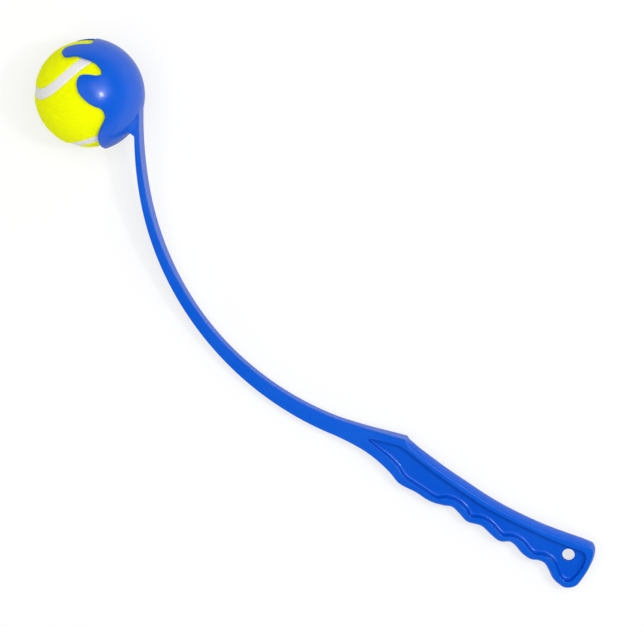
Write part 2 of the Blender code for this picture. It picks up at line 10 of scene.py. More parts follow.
import bmesh
import bpy
from mathutils import Euler, Matrix, Vector, kdtree, noise
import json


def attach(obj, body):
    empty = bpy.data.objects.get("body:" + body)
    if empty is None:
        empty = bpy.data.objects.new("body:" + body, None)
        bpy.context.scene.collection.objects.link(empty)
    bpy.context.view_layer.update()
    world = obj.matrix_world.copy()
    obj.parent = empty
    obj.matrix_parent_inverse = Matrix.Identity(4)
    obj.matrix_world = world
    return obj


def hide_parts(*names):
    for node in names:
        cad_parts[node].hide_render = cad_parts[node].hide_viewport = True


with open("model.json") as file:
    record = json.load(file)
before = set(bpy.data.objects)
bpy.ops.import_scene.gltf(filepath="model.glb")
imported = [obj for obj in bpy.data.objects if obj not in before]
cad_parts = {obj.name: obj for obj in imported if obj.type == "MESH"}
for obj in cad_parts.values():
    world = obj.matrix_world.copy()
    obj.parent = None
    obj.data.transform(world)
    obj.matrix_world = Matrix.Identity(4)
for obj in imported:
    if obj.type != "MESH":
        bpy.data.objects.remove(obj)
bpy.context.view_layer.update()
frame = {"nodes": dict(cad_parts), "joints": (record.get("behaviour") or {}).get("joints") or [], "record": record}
MM = 0.001

# %% [markdown]
# The moulding was drawn flat, with the ball's centre as the origin, X towards the hang hole, Y on
# the hollow side of the bend and Z square to its mid-plane, and was then laid down on three
# points. The record keeps the hang hole, the direction square to the web beside it and the
# direction in which the ball leaves the cup. Those three are enough to find the drawing again.

# %% Find the drawing's axes in the frame
OPENING_ANGLE = math.radians(-112.0)
HANG_HOLE_AT = Vector((415.852, 1.172, 0.0)) * MM

mounts = {mount["name"]: mount for mount in frame["record"]["mounts"]}
drawing_z = Vector(mounts["hang_hole"]["axis"]).normalized()
opening_world = Vector(frame["joints"][0]["axis"])
drawing_x = (Matrix.Rotation(-OPENING_ANGLE, 3, drawing_z) @ opening_world).normalized()
drawing_y = drawing_z.cross(drawing_x)
TURN = Matrix((drawing_x, drawing_y, drawing_z)).transposed()
BALL_CENTRE = Vector(mounts["hang_hole"]["pos_m"]) - TURN @ HANG_HOLE_AT
DRAWING = Matrix.Translation(BALL_CENTRE) @ TURN.to_4x4()
print("ball centre", [round(value / MM, 2) for value in BALL_CENTRE], "mm")
print("the mid-plane leans", round(math.degrees(math.acos(drawing_z.z)), 2), "degrees")

# %% [markdown]
# Every piece is modelled in the drawing's own axes, where the numbers are simple, and its mesh is
# then carried into the frame in one step. Its object stays at the origin, unturned, so that a
# pattern that reads Object coordinates stays on the surface.

# %% Helpers for starting and finishing a piece
def select_only(obj):
    bpy.ops.object.select_all(action="DESELECT")
    obj.select_set(True)
    bpy.context.view_layer.objects.active = obj


def start_piece(name):
    """The primitive that was just added, as a piece with its own name."""
    piece = bpy.context.object
    piece.name = name
    piece.data.name = name
    return piece


def apply_modifiers(piece):
    select_only(piece)
    for modifier in list(piece.modifiers):
        bpy.ops.object.modifier_apply(modifier=modifier.name)


def place_in_frame(piece, first=None):
    """Moves a piece's mesh, after a first turn of its own, from the drawing's axes into the frame."""
    select_only(piece)
    bpy.ops.object.transform_apply(location=True, rotation=True, scale=True)
    if first:
        piece.data.transform(first)
    piece.data.transform(DRAWING)
    piece.data.update()


def smooth_by_angle(piece, degrees):
    select_only(piece)
    bpy.ops.object.shade_smooth_by_angle(angle=math.radians(degrees))


def outward_normals(piece):
    select_only(piece)
    bpy.ops.object.mode_set(mode="EDIT")
    bpy.ops.mesh.select_all(action="SELECT")
    bpy.ops.mesh.normals_make_consistent(inside=False)
    bpy.ops.object.mode_set(mode="OBJECT")


def merge_points(piece, distance):
    select_only(piece)
    bpy.ops.object.mode_set(mode="EDIT")
    bpy.ops.mesh.select_all(action="SELECT")
    bpy.ops.mesh.remove_doubles(threshold=distance)
    bpy.ops.object.mode_set(mode="OBJECT")


def smoothstep(low, high, value):
    share = min(1.0, max(0.0, (value - low) / (high - low)))
    return share * share * (3.0 - 2.0 * share)


def smooth_run(points, step, closed=False):
    """A centripetal Catmull-Rom curve through the points, sampled about every step."""
    if closed:
        ends = [points[-1]] + list(points) + [points[0], points[1]]
    else:
        ends = [2 * points[0] - points[1]] + list(points) + [2 * points[-1] - points[-2]]
    run = []
    for before, start, end, after in zip(ends, ends[1:], ends[2:], ends[3:]):
        pairs = ((before, start), (start, end), (end, after))
        a, b, c = (math.sqrt((far - near).length) for near, far in pairs)
        leave = (start - before) / a - (end - before) / (a + b) + (end - start) / b
        arrive = (end - start) / b - (after - start) / (b + c) + (after - end) / c
        count = max(1, math.ceil((end - start).length / step))
        for i in range(count):
            t = i / count
            run.append(
                (2 * t**3 - 3 * t**2 + 1) * start + (3 * t**2 - 2 * t**3) * end
                + (t**3 - 2 * t**2 + t) * b * leave + (t**3 - t**2) * b * arrive
            )
    return run if closed else run + [points[-1]]


# %% [markdown]
# The camera and the light come before the pieces, so that each piece can be looked at as soon as
# it is made. The photograph looks straight down on the thrower from about 1.8 m, with the ball at
# the upper left and the handle at the lower right. The lens follows from the height and from how
# wide a strip of the floor fills the picture.

# %% Camera
SENSOR_WIDTH = 36.0
CAMERA_HEIGHT = 1.8
VIEW_WIDTH = 399.3 * MM
VIEW_TURN = math.radians(43.94)
CAMERA_RIGHT_OF_BALL = 145.1 * MM
CAMERA_BELOW_BALL = 135.9 * MM

image_right = Vector((math.cos(VIEW_TURN), math.sin(VIEW_TURN), 0))
image_up = Vector((-math.sin(VIEW_TURN), math.cos(VIEW_TURN), 0))
camera_data = bpy.data.cameras.new("camera")
camera_data.sensor_width = SENSOR_WIDTH
camera_data.lens = SENSOR_WIDTH * CAMERA_HEIGHT / VIEW_WIDTH
camera_data.dof.use_dof = False
camera = bpy.data.objects.new("camera", camera_data)
bpy.context.scene.collection.objects.link(camera)
camera.rotation_euler = (0, 0, VIEW_TURN)
camera.location = (
    BALL_CENTRE + CAMERA_RIGHT_OF_BALL * image_right - CAMERA_BELOW_BALL * image_up
    + Vector((0, 0, CAMERA_HEIGHT))
)
bpy.context.scene.camera = camera
print("lens", round(camera_data.lens, 1), "mm for a view", round(VIEW_WIDTH / MM, 1), "mm wide")

# %% [markdown]
# Colours are written as sRGB hex, as an image editor shows them, and one function turns them to
# the linear values that shaders take. A second small function adds a node with its settings and
# links, which keeps a material readable as a list of what feeds what.

# %% Colour and node helpers
def linear(hex_colour):
    values = [int(hex_colour[i:i + 2], 16) / 255 for i in (1, 3, 5)]
    return tuple(v / 12.92 if v <= 0.04045 else ((v + 0.055) / 1.055) ** 2.4 for v in values) + (1.0,)


def add_node(tree, kind, settings=None, links=None, **values):
    """A node with its properties, its socket values and the sockets that feed it."""
    node = tree.nodes.new(kind)
    for name, value in (settings or {}).items():
        setattr(node, name, value)
    for name, value in values.items():
        node.inputs[name.replace("_", " ")].default_value = value
    for name, source in (links or {}).items():
        tree.links.new(source, node.inputs[name])
    return node


def new_material(name):
    material = bpy.data.materials.new(name)
    material.use_nodes = True
    tree = material.node_tree
    return material, tree, tree.nodes["Principled BSDF"]


# %% [markdown]
# The moulding is polypropylene, run in a polished tool: an even saturated blue with a smooth
# gloss. What the eye reads as plastic is small: a faint waviness from shrinkage, a little
# unevenness in the gloss where hands have been, and hair-fine scuffs. The colour barely varies.

# %% Blue polypropylene
WAVE_SIZE = 9.0 * MM
WAVE_HEIGHT = 0.25 * MM
HANDLING_SIZE = 22.0 * MM
SCUFF_SIZE = 1.4 * MM
SCUFF_DEPTH = 0.05 * MM
SMOOTHEST, DULLEST = 0.19, 0.26
POLYPROPYLENE_IOR = 1.49

blue_plastic, tree, shader = new_material("glossy_blue_polypropylene")
place = add_node(tree, "ShaderNodeTexCoord").outputs["Object"]
handled = add_node(
    tree, "ShaderNodeTexNoise", links={"Vector": place}, Scale=1 / HANDLING_SIZE, Detail=3.0,
)
tint = add_node(tree, "ShaderNodeMix", {"data_type": "RGBA"}, {"Factor": handled.outputs["Fac"]})
tint.inputs[6].default_value = linear("#0053ca")
tint.inputs[7].default_value = linear("#025bd2")
gloss = add_node(
    tree, "ShaderNodeMapRange", links={"Value": handled.outputs["Fac"]},
    From_Min=0.3, From_Max=0.7, To_Min=SMOOTHEST, To_Max=DULLEST,
)
wave = add_node(tree, "ShaderNodeTexNoise", links={"Vector": place}, Scale=1 / WAVE_SIZE, Detail=1.0)
stretch = add_node(tree, "ShaderNodeMapping", links={"Vector": place}, Scale=(0.25, 1.0, 1.0))
scuff = add_node(
    tree, "ShaderNodeTexNoise", links={"Vector": stretch.outputs["Vector"]},
    Scale=1 / SCUFF_SIZE, Detail=4.0, Roughness=0.7,
)
soft_wave = add_node(
    tree, "ShaderNodeBump", links={"Height": wave.outputs["Fac"]}, Strength=0.25, Distance=WAVE_HEIGHT,
)
fine_scuff = add_node(
    tree, "ShaderNodeBump",
    links={"Height": scuff.outputs["Fac"], "Normal": soft_wave.outputs["Normal"]},
    Strength=0.10, Distance=SCUFF_DEPTH,
)
shader.inputs["IOR"].default_value = POLYPROPYLENE_IOR
tree.links.new(tint.outputs[2], shader.inputs["Base Color"])
tree.links.new(gloss.outputs["Result"], shader.inputs["Roughness"])
tree.links.new(fine_scuff.outputs["Normal"], shader.inputs["Normal"])
print("made", blue_plastic.name)

# %% [markdown]
# The felt is needled wool and nylon in a fluorescent yellow: a dense nap whose fibres lie in
# every direction. It scatters light at its edge, which sheen gives, and it shows fine lighter and
# darker flecks where fibres stand up or part.

# %% Yellow felt
FIBRE_SIZE = 0.55 * MM
TUFT_SIZE = 2.4 * MM
NAP_DEPTH = 0.35 * MM

yellow_felt, tree, shader = new_material("fluorescent_needled_felt")
place = add_node(tree, "ShaderNodeTexCoord").outputs["Object"]
fibre = add_node(
    tree, "ShaderNodeTexNoise", links={"Vector": place}, Scale=1 / FIBRE_SIZE, Detail=5.0,
    Roughness=0.7, Distortion=1.2,
)
tuft = add_node(tree, "ShaderNodeTexNoise", links={"Vector": place}, Scale=1 / TUFT_SIZE, Detail=3.0)
flecks = add_node(tree, "ShaderNodeValToRGB", links={"Fac": fibre.outputs["Fac"]})
flecks.color_ramp.elements[0].position = 0.34
flecks.color_ramp.elements[0].color = linear("#e2f000")
flecks.color_ramp.elements[1].position = 0.60
flecks.color_ramp.elements[1].color = linear("#f8fb04")
patches = add_node(
    tree, "ShaderNodeMix", {"data_type": "RGBA", "blend_type": "MULTIPLY"},
    {"Factor": tuft.outputs["Fac"]},
)
tree.links.new(flecks.outputs["Color"], patches.inputs[6])
patches.inputs[7].default_value = linear("#f6f8d0")
nap = add_node(
    tree, "ShaderNodeBump", links={"Height": fibre.outputs["Fac"]}, Strength=0.6, Distance=NAP_DEPTH,
)
shader.inputs["Roughness"].default_value = 0.95
shader.inputs["Specular IOR Level"].default_value = 0.05
shader.inputs["Sheen Weight"].default_value = 0.18
shader.inputs["Sheen Roughness"].default_value = 0.45
shader.inputs["Sheen Tint"].default_value = linear("#f8ff50")
tree.links.new(patches.outputs[2], shader.inputs["Base Color"])
tree.links.new(nap.outputs["Normal"], shader.inputs["Normal"])
print("made", yellow_felt.name)

# %% [markdown]
# The seam is vulcanised rubber: chalky off-white, matt, with a slightly pitted skin. The core
# inside is black moulded rubber, which nobody sees while the ball is whole.

# %% Seam and core rubber
PIT_SIZE = 0.7 * MM
PIT_DEPTH = 0.12 * MM
RUBBER_IOR = 1.52


def rubber(name, light, dark, roughness):
    material, tree, shader = new_material(name)
    place = add_node(tree, "ShaderNodeTexCoord").outputs["Object"]
    pits = add_node(
        tree, "ShaderNodeTexNoise", links={"Vector": place}, Scale=1 / PIT_SIZE, Detail=4.0,
    )
    tone = add_node(tree, "ShaderNodeMix", {"data_type": "RGBA"}, {"Factor": pits.outputs["Fac"]})
    tone.inputs[6].default_value = linear(light)
    tone.inputs[7].default_value = linear(dark)
    skin = add_node(
        tree, "ShaderNodeBump", links={"Height": pits.outputs["Fac"]}, Strength=0.35, Distance=PIT_DEPTH,
    )
    shader.inputs["Roughness"].default_value = roughness
    shader.inputs["IOR"].default_value = RUBBER_IOR
    tree.links.new(tone.outputs[2], shader.inputs["Base Color"])
    tree.links.new(skin.outputs["Normal"], shader.inputs["Normal"])
    return material


seam_rubber = rubber("matt_white_seam_rubber", "#f3f2ef", "#d2d2d4", 0.72)
core_rubber = rubber("black_core_rubber", "#202020", "#161616", 0.65)
for half in ("ball_core_half_a", "ball_core_half_b"):
    frame["nodes"][half].data.materials.clear()
    frame["nodes"][half].data.materials.append(core_rubber)
print("made", seam_rubber.name, "and", core_rubber.name)

# %% [markdown]
# The cup is a ball-shaped shell whose rim runs out into two fingers, two side lobes and a prong.
# Cutting it from a sphere would leave ragged faces on the gloss, so it is made as a tailor would:
# the skin of the ball is laid flat round the palm, the point opposite the opening, its outline is
# filled and cut into a fine even net, and the net is wrapped back round the ball.

# %% The cup's sizes and its rim
CUP_INNER_RADIUS = 33.6 * MM
CUP_OUTER_RADIUS = 35.3 * MM
CUP_WALL_BIAS = 0.5 * MM
CUP_BIAS_ANGLE = math.radians(-45)
CUP_CENTRE = CUP_WALL_BIAS * Vector((math.cos(CUP_BIAS_ANGLE), math.sin(CUP_BIAS_ANGLE), 0))
RIM_STEP = 0.8 * MM
LIP_BAND = 1.0 * MM
OPENING = Vector((math.cos(OPENING_ANGLE), math.sin(OPENING_ANGLE), 0))
PALM = -OPENING
TO_FINGERS = Vector((OPENING.y, -OPENING.x, 0))
SIDEWAYS = Vector((0, 0, 1))

# Half of the rim, from the slot between the fingers to the lower prong, in degrees: how far round
# from the opening's middle, and how far from sideways towards the fingers.
RIM_DEGREES = (
    (122.8, 90.0), (122.8, 80.0), (122.4, 73.0), (119.0, 69.8), (112.0, 69.6), (104.0, 69.6),
    (97.0, 69.0), (92.8, 66.6), (91.2, 62.0), (92.0, 56.8), (94.6, 52.4), (99.5, 50.8),
    (104.4, 49.8), (108.2, 47.8), (111.8, 44.6), (116.2, 41.8), (119.6, 38.8), (123.0, 34.8),
    (125.9, 28.9), (127.0, 23.1), (126.2, 19.8), (124.0, 18.5), (120.7, 19.0), (116.4, 21.2),
    (112.0, 23.3), (106.3, 24.8), (102.6, 23.6), (99.7, 19.8), (98.2, 16.1), (97.3, 12.1),
    (97.2, 7.8), (98.4, 2.6), (100.4, -2.5), (103.1, -7.8), (106.2, -12.3), (109.0, -15.6),
    (110.7, -19.5), (110.6, -24.6), (109.4, -28.7), (106.2, -31.8), (101.0, -35.9), (95.7, -40.7),
    (91.5, -46.1), (88.7, -52.2), (86.6, -61.1), (85.4, -73.0), (85.0, -90.0),
)


def rim_direction(from_opening, from_side):
    polar, round_rim = math.radians(from_opening), math.radians(from_side)
    side = math.cos(round_rim) * SIDEWAYS + math.sin(round_rim) * TO_FINGERS
    return math.cos(polar) * OPENING + math.sin(polar) * side


half_rim = [rim_direction(*degrees) for degrees in RIM_DEGREES]
mirrored = [Vector((v.x, v.y, -v.z)) for v in half_rim[-2:0:-1]]
whole_rim = smooth_run([CUP_OUTER_RADIUS * v for v in half_rim + mirrored], RIM_STEP, closed=True)
rim_directions = [v.normalized() for v in whole_rim]
print("the rim is", len(rim_directions), "points round")

# %% [markdown]
# Laying a direction flat keeps its distance from the palm true and only stretches what lies far
# from it, so one even net serves the whole cup. The outline that is filled stops one narrow band
# short of the rim, because the lip gets its own faces later.

# %% Lay the skin flat, and wrap it back
OUTLINE_WELD = 0.001 * MM


def lay_flat(direction):
    """Where a direction falls on the skin laid flat: its distance from the palm stays true."""
    away = direction.angle(PALM) * CUP_OUTER_RADIUS
    side = Vector((direction.dot(SIDEWAYS), direction.dot(TO_FINGERS), 0)).normalized()
    return away * side


def wrap(flat):
    turn = flat.length / CUP_OUTER_RADIUS
    side = (flat.x * SIDEWAYS + flat.y * TO_FINGERS).normalized()
    return math.cos(turn) * PALM + math.sin(turn) * side


def set_in(directions, distance):
    """A loop on the sphere, moved across its surface towards the palm side."""
    moved = []
    previous = directions[-1:] + directions[:-1]
    following = directions[1:] + directions[:1]
    for before, here, after in zip(previous, directions, following):
        inward = here.cross(after - before).normalized()
        moved.append((here + inward * distance / CUP_OUTER_RADIUS).normalized())
    return moved


band_edge = set_in(rim_directions, LIP_BAND)
if sum(v.dot(PALM) for v in band_edge) < sum(v.dot(PALM) for v in rim_directions):
    band_edge = set_in(rim_directions, -LIP_BAND)


def filled_outline(name, outline):
    """A closed outline drawn as a flat curve, made a mesh with one face."""
    curve = bpy.data.curves.new(name, "CURVE")
    curve.dimensions = "2D"
    curve.fill_mode = "BOTH"
    spline = curve.splines.new("POLY")
    spline.points.add(len(outline) - 1)
    for point, place in zip(spline.points, outline):
        point.co = (place.x, place.y, 0, 1)
    spline.use_cyclic_u = True
    piece = bpy.data.objects.new(name, curve)
    bpy.context.scene.collection.objects.link(piece)
    select_only(piece)
    bpy.ops.object.convert(target="MESH")
    bpy.ops.object.mode_set(mode="EDIT")
    bpy.ops.mesh.select_all(action="SELECT")
    bpy.ops.mesh.remove_doubles(threshold=OUTLINE_WELD)
    bpy.ops.mesh.dissolve_faces()
    bpy.ops.object.mode_set(mode="OBJECT")
    return bpy.context.object


def cut_across(places, normals):
    """Cuts the whole mesh in edit mode by one plane after another."""
    for place, normal in zip(places, normals):
        bpy.ops.mesh.select_all(action="SELECT")
        bpy.ops.mesh.bisect(plane_co=place, plane_no=normal)


print("the filled outline has", len(band_edge), "points")

# %% The cup's net
NET_STEP = 1.6 * MM
NET_REACH = 64 * MM

cup = filled_outline("cup_shell", [lay_flat(v) for v in band_edge])
half_count = int(NET_REACH / NET_STEP)
steps = [NET_STEP * (i + 0.5) for i in range(-half_count, half_count)]
bpy.ops.object.mode_set(mode="EDIT")
cut_across([(step, 0, 0) for step in steps], [(1, 0, 0)] * len(steps))
cut_across([(0, step, 0) for step in steps], [(0, 1, 0)] * len(steps))
bpy.ops.object.mode_set(mode="OBJECT")
for vert in cup.data.vertices:
    vert.co = CUP_CENTRE + CUP_OUTER_RADIUS * wrap(vert.co)
outward_normals(cup)
print("the net has", len(cup.data.polygons), "faces")

# %% [markdown]
# The lip needs an even band of faces, or its rounding would be ragged. The edge of the net is
# extruded by one band, which is drawn out to the rim. The wall is then given its thickness, its
# inside is pressed onto the ball's own sphere, and a bevel rounds both edges of the lip.

# %% Lip, wall and rounding of the cup
LIP_ROUND = 0.5 * MM
LIP_ANGLE = math.radians(55)
ROUND_SEGMENTS = 3
RIM_LOOKUP_STEP = 0.05 * MM
CUP_WELD = 0.01 * MM


def select_boundary():
    bpy.ops.mesh.select_mode(type="EDGE")
    bpy.ops.mesh.select_all(action="DESELECT")
    bpy.ops.mesh.select_non_manifold(
        extend=False, use_wire=False, use_boundary=True, use_multi_face=False,
        use_non_contiguous=False, use_verts=False,
    )


def dense_loop(points, step):
    """Points a step apart along a closed loop of straight runs."""
    loop = []
    for start, end in zip(points, points[1:] + points[:1]):
        count = max(1, math.ceil((end - start).length / step))
        loop += [start.lerp(end, i / count) for i in range(count)]
    return loop


def lookup(points):
    tree = kdtree.KDTree(len(points))
    for i, point in enumerate(points):
        tree.insert(point, i)
    tree.balance()
    return tree


rim_points = [CUP_CENTRE + CUP_OUTER_RADIUS * v for v in rim_directions]
rim_tree = lookup(dense_loop(rim_points, RIM_LOOKUP_STEP))
select_only(cup)
bpy.ops.object.mode_set(mode="EDIT")
select_boundary()
bpy.ops.mesh.extrude_edges_move()
bpy.ops.object.mode_set(mode="OBJECT")
for vert in cup.data.vertices:
    if vert.select:
        vert.co = rim_tree.find(vert.co)[0]
merge_points(cup, CUP_WELD)
outward_normals(cup)

wall = cup.modifiers.new("wall", "SOLIDIFY")
wall.thickness = CUP_OUTER_RADIUS - CUP_INNER_RADIUS
wall.offset = -1.0
apply_modifiers(cup)
middle_of_wall = (CUP_OUTER_RADIUS + CUP_INNER_RADIUS) / 2
for vert in cup.data.vertices:
    if (vert.co - CUP_CENTRE).length < middle_of_wall:
        vert.co = CUP_INNER_RADIUS * vert.co.normalized()
lip = cup.modifiers.new("lip", "BEVEL")
lip.limit_method = "ANGLE"
lip.angle_limit = LIP_ANGLE
lip.width = LIP_ROUND
lip.segments = ROUND_SEGMENTS
lip.use_clamp_overlap = False
apply_modifiers(cup)
print("the cup has", len(cup.data.polygons), "faces")

# %% [markdown]
# Arm and handle are one blade. Its side view is drawn as one outline: the arm's outer edge is one
# arc that leans in a little where it leaves the cup, its inner edge closes in on it towards the
# cup, and the handle follows the hand, with four hollows for the fingers. Drawing the two together
# avoids a seam where they meet.

# %% The blade's outline
ARM_LEAVE_ANGLE = math.radians(34.94)
ARM_RADIUS = 191.5 * MM
ARM_SWEEP = math.radians(78.05)
ARM_ROOT_DEPTH = 2.8 * MM
ARM_END_DEPTH = 10.7 * MM
ARM_DEPTH_GROWTH = 1.05
ARM_LIFT = 0.7 * MM
ARM_CENTRE = (CUP_OUTER_RADIUS + ARM_LIFT + ARM_RADIUS - ARM_ROOT_DEPTH) * Vector(
    (math.cos(ARM_LEAVE_ANGLE), math.sin(ARM_LEAVE_ANGLE), 0)
)
ARM_TUCK = 1.8 * MM
ARM_TUCK_RUN = 54.0 * MM
ARM_STEPS = 60
HANDLE_TURN = math.radians(-8.3)
OUTLINE_STEP = 1.2 * MM

# The handle in its own axes, in mm: along it from the arm's outer edge, and across to its back
NECK_OUTER = ((0, 0), (10.7, 0.8), (21.5, 0.9), (30.8, -0.2), (41.2, -2.7), (50, -6.1))
FINGERS = (
    (62.4, -5.6), (69.7, -6.1), (74.8, -5.6), (80.8, -3.9), (86, -2.0), (91.5, -3.3), (97.8, -5.4),
    (100.5, -5.2), (107.7, -3.3), (115.3, -5.0), (121.2, -6.1), (124.0, -5.5), (128.0, -3.0),
    (132.2, -3.3), (138.7, -5.7), (145.0, -6.1), (149.6, -4.2), (153.7, -3.9), (158.3, -6.4),
)
BUTT = (
    (163.2, -9.8), (168.0, -11.1), (172.0, -11.3), (175.6, -9.3), (178.0, -6.2), (178.8, -1.1),
    (179.0, 6.2), (178.3, 13.9), (176.3, 18.9), (173.6, 21.0), (170.4, 20.7),
)
BACK = (
    (163.9, 19.6), (152.6, 17.4), (141.2, 15.5), (128.4, 14.2), (115, 13.4), (101.7, 13.5),
    (87.4, 14.5), (71.3, 15.7), (62.3, 16.8), (47.4, 18.9), (39.2, 21.0),
)
NECK_INNER = ((39.2, 21.0), (28.0, 18.0), (17.8, 15.2), (8.0, 12.8))


def arm_point(angle, radius):
    """A point of the drawing by its angle round the arm's centre, from the cup on."""
    turned = ARM_LEAVE_ANGLE + math.pi + angle
    return ARM_CENTRE + radius * Vector((math.cos(turned), math.sin(turned), 0))


def arm_depth(share):
    return ARM_ROOT_DEPTH + (ARM_END_DEPTH - ARM_ROOT_DEPTH) * max(share, 0.0)**ARM_DEPTH_GROWTH


def arm_tuck(angle):
    """How far the arm leans in towards the cup, so that it leaves it without a step."""
    return ARM_TUCK * max(0.0, 1 - angle * ARM_RADIUS / ARM_TUCK_RUN)**2


HANDLE_HEADING = ARM_LEAVE_ANGLE + ARM_SWEEP + 1.5 * math.pi + HANDLE_TURN
HANDLE_PLACE = (
    Matrix.Translation(arm_point(ARM_SWEEP, ARM_RADIUS)) @ Matrix.Rotation(HANDLE_HEADING, 4, "Z")
)


def on_handle(points):
    return [HANDLE_PLACE @ (MM * Vector((along, across, 0))) for along, across in points]


arm_shares = [i / ARM_STEPS for i in range(ARM_STEPS + 1)]
outer_radii = [ARM_RADIUS + arm_tuck(share * ARM_SWEEP) for share in arm_shares]
inner_radii = [outer - arm_depth(share) for outer, share in zip(outer_radii, arm_shares)]
outer_edge = [arm_point(share * ARM_SWEEP, radius) for share, radius in zip(arm_shares, outer_radii)]
inner_edge = [arm_point(share * ARM_SWEEP, radius) for share, radius in zip(arm_shares, inner_radii)]
convex_run = smooth_run(on_handle(NECK_OUTER + FINGERS + BUTT + BACK), OUTLINE_STEP)
concave_run = smooth_run(on_handle(NECK_INNER) + [inner_edge[-1]], OUTLINE_STEP)
blade_outline = outer_edge[:-1] + convex_run[:-1] + concave_run + inner_edge[-2::-1]
print("the blade's outline has", len(blade_outline), "points")

# %% [markdown]
# The outline is filled, cut across at even stations and extruded to a plate, and the plate's side
# is cut into rows. Each row then moves in by its share of the crown: the back is one shallow curve
# that meets the flat at a crease, while the finger side rolls over into the flat. The plate also
# narrows through the neck and widens again along the arm, where it becomes a flat strap at the cup.

# %% Extrude the blade and cut its side into rows
HANDLE_THICKNESS = 13.0 * MM
ARM_ROOT_WIDTH = 14.8 * MM
ARM_END_WIDTH = 7.5 * MM
NECK_LENGTH = 68.0 * MM
NECK_STEPS = 24
CROWN_DEPTH = 2.5 * MM
CROWN_SWELL = 0.35
CROWN_STEPS = 6
EDGE_ROWS = [0.93, 0.99]
CORNER_RADIUS = 0.5 * MM
BLADE_WELD = 0.02 * MM

blade = filled_outline("launcher_moulding", blade_outline)
bpy.ops.object.mode_set(mode="EDIT")
stations = arm_shares[1:]
cut_across(
    [arm_point(share * ARM_SWEEP, ARM_RADIUS) for share in stations],
    [arm_point(share * ARM_SWEEP + math.pi / 2, ARM_RADIUS) - ARM_CENTRE for share in stations],
)
along_handle = HANDLE_PLACE.to_3x3() @ Vector((1, 0, 0))
neck_places = [
    HANDLE_PLACE @ Vector((NECK_LENGTH * i / NECK_STEPS, 0, 0)) for i in range(1, NECK_STEPS + 1)
]
cut_across(neck_places, [along_handle] * NECK_STEPS)
bpy.ops.mesh.select_all(action="SELECT")
bpy.ops.mesh.remove_doubles(threshold=BLADE_WELD)
bpy.ops.mesh.extrude_region_move(TRANSFORM_OT_translate={"value": (0, 0, HANDLE_THICKNESS)})
bpy.ops.mesh.select_all(action="SELECT")
bpy.ops.transform.translate(value=(0, 0, -HANDLE_THICKNESS / 2))
upper_rows = [math.sin(math.pi / 2 * i / CROWN_STEPS) for i in range(1, CROWN_STEPS)] + EDGE_ROWS
heights = [0.0] + upper_rows + [-height for height in upper_rows]
cut_across([(0, 0, height * HANDLE_THICKNESS / 2) for height in heights], [(0, 0, 1)] * len(heights))
bpy.ops.object.mode_set(mode="OBJECT")
outward_normals(blade)
print("the plate has", len(blade.data.polygons), "faces in", len(heights) + 1, "rows")

# %% [markdown]
# How far a row moves in depends on three things: the direction into the plate at that place of
# the outline, how deep the crown is there, and how wide the blade is. Each is a small function, so
# that the move itself is short.

# %% Move the rows in by the crown
CROWN_FADES = (168 * MM, 177 * MM)
FADED_CROWN = 0.5
BACK_CROWN_STARTS = (39 * MM, 45 * MM)
BACK_LIES_ABOVE = 9 * MM
FINGER_CROWN_STARTS = (40 * MM, 66 * MM)
ROLL_OVER = (14 * MM, 6 * MM)
ARM_NARROWS = (0.10, 0.66)
HEADING_STEP = 0.1 * MM
HEADING_SPAN = 12

fine_outline = dense_loop(blade_outline, HEADING_STEP)
outline_tree = lookup(fine_outline)


def into_plate(index):
    """The direction into the plate at a point of the outline."""
    ahead = fine_outline[(index + HEADING_SPAN) % len(fine_outline)]
    heading = (ahead - fine_outline[index - HEADING_SPAN]).normalized()
    return Vector((-heading.y, heading.x, 0))


def crown_at(along, across):
    """How deep the side's crown is at a place of the handle, and how far it rolls over."""
    end = 1 - FADED_CROWN * smoothstep(*CROWN_FADES, along)
    if across > BACK_LIES_ABOVE:
        return CROWN_DEPTH * smoothstep(*BACK_CROWN_STARTS, along) * end, 0.0
    rolled = smoothstep(*FINGER_CROWN_STARTS, along)
    return CROWN_DEPTH * rolled * end, rolled * smoothstep(*ROLL_OVER, across)


def half_width(place):
    """Half of the blade's width: it narrows along the arm and widens again through the neck."""
    local = HANDLE_PLACE.inverted() @ place
    if local.x > 0:
        share = smoothstep(0, NECK_LENGTH, local.x)
        return (ARM_END_WIDTH + (HANDLE_THICKNESS - ARM_END_WIDTH) * share) / 2
    from_centre = place - ARM_CENTRE
    turned = (math.atan2(from_centre.y, from_centre.x) - ARM_LEAVE_ANGLE) % (2 * math.pi) - math.pi
    share = turned / ARM_SWEEP
    return (ARM_ROOT_WIDTH + (ARM_END_WIDTH - ARM_ROOT_WIDTH) * smoothstep(*ARM_NARROWS, share)) / 2


for vert in blade.data.vertices:
    flat = Vector((vert.co.x, vert.co.y, 0))
    index = outline_tree.find(flat)[1]
    local = HANDLE_PLACE.inverted() @ flat
    height = 2 * vert.co.z / HANDLE_THICKNESS
    depth, rolled = crown_at(local.x, local.y) if local.x > 0 else (0.0, 0.0)
    rise = (1 - rolled) * height**2 + rolled * (1 - math.sqrt(max(0.0, 1 - height**2)))
    half = half_width(flat)
    above = max(0.0, 1 - (1 - abs(height)) * half / CORNER_RADIUS)
    corner = (1 - rolled) * CORNER_RADIUS * (1 - math.sqrt(max(0.0, 1 - above**2)))
    moved = flat + into_plate(index) * (depth * (rise - CROWN_SWELL) + corner)
    vert.co = (moved.x, moved.y, height * half)
blade.data.update()
print("the blade has", len(blade.data.polygons), "faces")

# %% [markdown]
# The handle is sunk on both faces, which saves plastic and keeps the moulding from shrinking
# unevenly. The sunk field follows the outline at an even rim, its walls lean out a little so that
# it leaves the tool, and its floor meets them in a fillet. The cutter for it is the sunk space
# itself: an outline extruded with that lean, its floor's edge bevelled.

